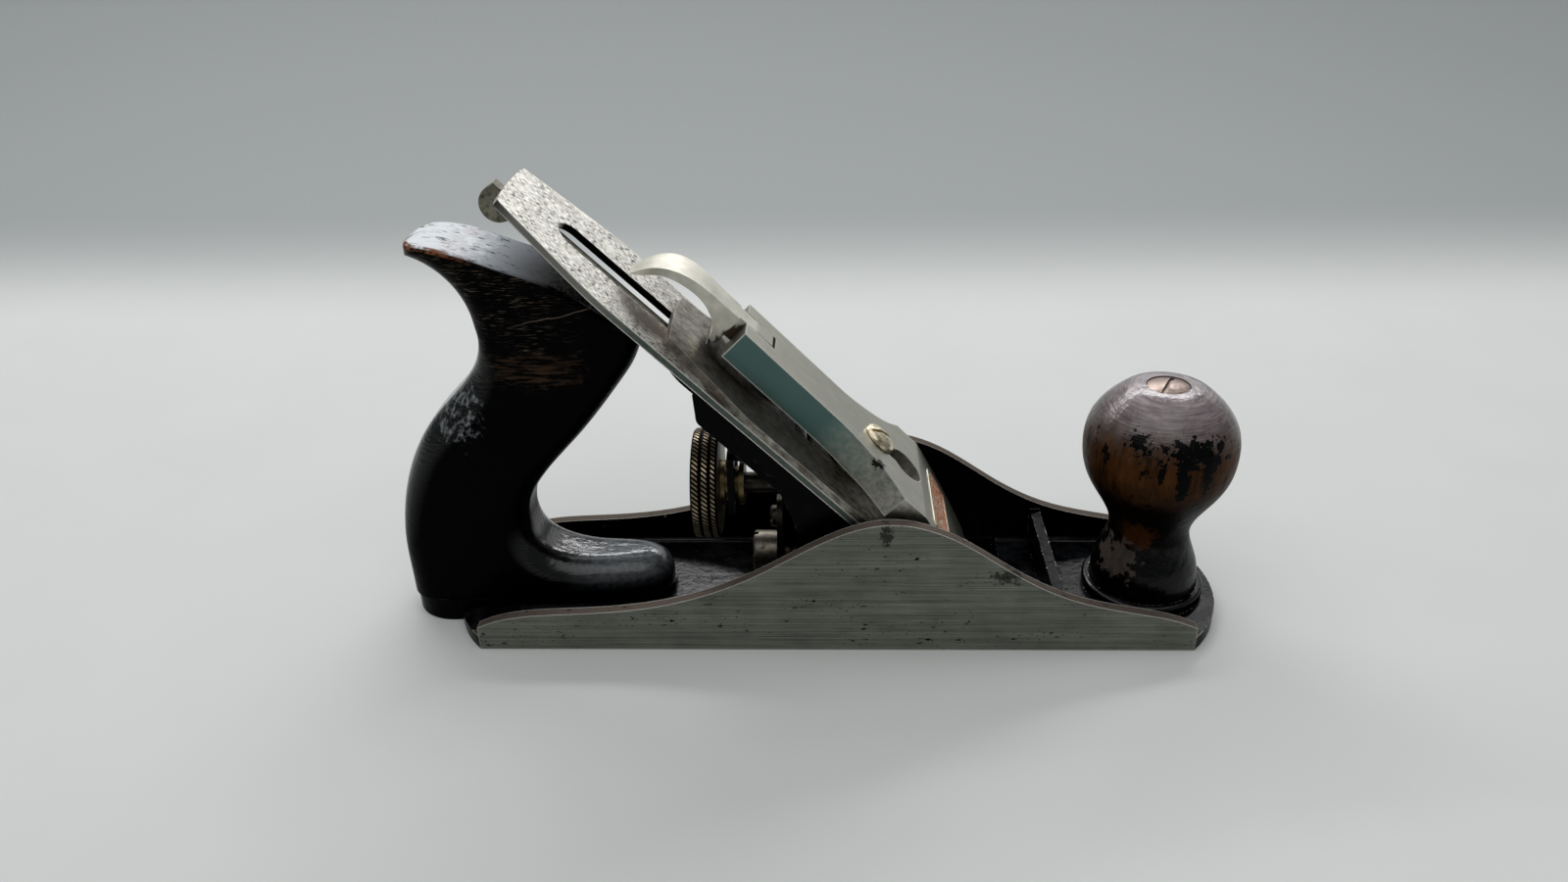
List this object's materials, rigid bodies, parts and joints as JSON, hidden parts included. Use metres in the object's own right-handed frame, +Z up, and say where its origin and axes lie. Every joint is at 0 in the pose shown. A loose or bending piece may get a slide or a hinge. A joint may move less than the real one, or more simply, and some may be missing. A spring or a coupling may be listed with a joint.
{
  "type": "hand plane",
  "caption": "Metal bench smoothing plane: cast body, 45-degree adjustable frog, iron with cap iron, cam-locked lever cap, depth wheel, round front knob and rear tote.",
  "frame": {"origin": "on the sole, midway along the straight part of its sides", "axes": "+X towards the toe, +Y to the left of a user pushing the plane along +X, +Z up from the sole"},
  "size_m": [0.2419, 0.054, 0.1304],
  "materials": {
    "body_casting": "ground bare sides and sole, black japan inside",
    "frog_casting": "black japanned cast iron, bed ground bright",
    "screw_steel": "aged steel",
    "plate_steel": "bright steel",
    "wheel_brass": "tarnished, knurled rim",
    "iron_steel": "mottled grey tool steel",
    "cap_iron_steel": "browned steel",
    "cap_nickel": "satin nickel plate on cast iron, worn at the edges",
    "screw_nickel": "domed nickel plated head",
    "nut_nickel": "nickel plated",
    "spring_steel": "blued spring steel",
    "knob_wood": "stained beech, black finish worn through",
    "tote_wood": "black lacquered beech, worn at the horn"
  },
  "bodies": {
    "plane": {"plane_body": "body_casting", "front_knob": "knob_wood", "knob_bolt": "screw_steel", "knob_nut": "nut_nickel", "rear_tote": "tote_wood", "tote_bolt": "screw_steel", "tote_nut": "nut_nickel", "frog_screws": "screw_steel", "frog_washers": "screw_steel"},
    "frog_group": {"frog": "frog_casting", "adjusting_stud": "screw_steel", "y_lever_pin": "plate_steel", "lateral_pivot": "plate_steel", "frog_adjusting_plate": "plate_steel", "frog_plate_screw": "screw_steel"},
    "frog_adjuster": {"frog_adjusting_screw": "screw_steel"},
    "collar": {"adjusting_collar": "wheel_brass"},
    "wheel": {"adjusting_wheel": "wheel_brass"},
    "yoke": {"y_lever": "frog_casting"},
    "depth_screw": {"cap_iron_screw": "screw_steel"},
    "irons": {"cutting_iron": "iron_steel", "cap_iron": "cap_iron_steel"},
    "lateral": {"lateral_lever": "plate_steel", "lateral_disc": "plate_steel"},
    "cap": {"lever_cap": "cap_nickel", "cam_pin": "plate_steel", "lever_cap_spring": "spring_steel", "spring_rivet": "plate_steel"},
    "cam": {"cam_lever": "cap_nickel"},
    "cap_screw": {"lever_cap_screw": "screw_nickel"}
  },
  "joints": [
    {"name": "frog_slide", "type": "slide", "parent": "plane", "child": "frog_group", "axis": [1, 0, 0], "range_m": [-0.0015, 0.0015]},
    {"name": "frog_screw_turn", "type": "hinge", "parent": "frog_group", "child": "frog_adjuster", "pos_m": [-0.02, 0, 0.0164], "axis": [1, 0, 0], "range_deg": [-430, 430]},
    {"name": "collar_travel", "type": "slide", "parent": "frog_group", "child": "collar", "axis": [1, 0, 0], "range_m": [-0.00102, 0.00153]},
    {"name": "depth_wheel", "type": "hinge", "parent": "collar", "child": "wheel", "pos_m": [-0.0365, 0, 0.04], "axis": [1, 0, 0], "range_deg": [-432, 288]},
    {"name": "depth_travel", "type": "slide", "parent": "frog_group", "child": "depth_screw", "axis": [0.7071, 0, -0.7071], "range_m": [-0.0012, 0.0008]},
    {"name": "yoke_pivot", "type": "hinge", "parent": "frog_group", "child": "yoke", "pos_m": [-0.017, 0, 0.052], "axis": [0, 1, 0], "range_deg": [-7.3, 4.9]},
    {"name": "iron_skew", "type": "hinge", "parent": "depth_screw", "child": "irons", "pos_m": [-0.02095, 0, 0.06505], "axis": [0.7071, 0, 0.7071], "range_deg": [-0.6, 0.6]},
    {"name": "lateral_swing", "type": "hinge", "parent": "frog_group", "child": "lateral", "pos_m": [-0.03778, 0, 0.08004], "axis": [0.7071, 0, 0.7071], "range_deg": [-1.7, 1.7]},
    {"name": "lever_cap_slide", "type": "slide", "parent": "frog_group", "child": "cap", "axis": [-0.7071, 0, 0.7071], "range_m": [0, 0.0118]},
    {"name": "cam_swing", "type": "hinge", "parent": "cap", "child": "cam", "pos_m": [-0.02293, 0, 0.08712], "axis": [0, 1, 0], "range_deg": [0, 75]},
    {"name": "cap_screw_turn", "type": "hinge", "parent": "frog_group", "child": "cap_screw", "pos_m": [0.00167, 0, 0.04243], "axis": [0.7071, 0, 0.7071], "range_deg": [-180, 180]}
  ],
  "couplings": [
    {"joint": "frog_screw_turn", "follows": "frog_slide", "rad_per_m": 4947.4},
    {"joint": "collar_travel", "follows": "depth_travel", "ratio": -1.2632},
    {"joint": "depth_wheel", "follows": "depth_travel", "rad_per_m": 6249.2},
    {"joint": "yoke_pivot", "follows": "depth_travel", "rad_per_m": 105.26},
    {"joint": "lateral_swing", "follows": "iron_skew", "ratio": -2.75}
  ]
}
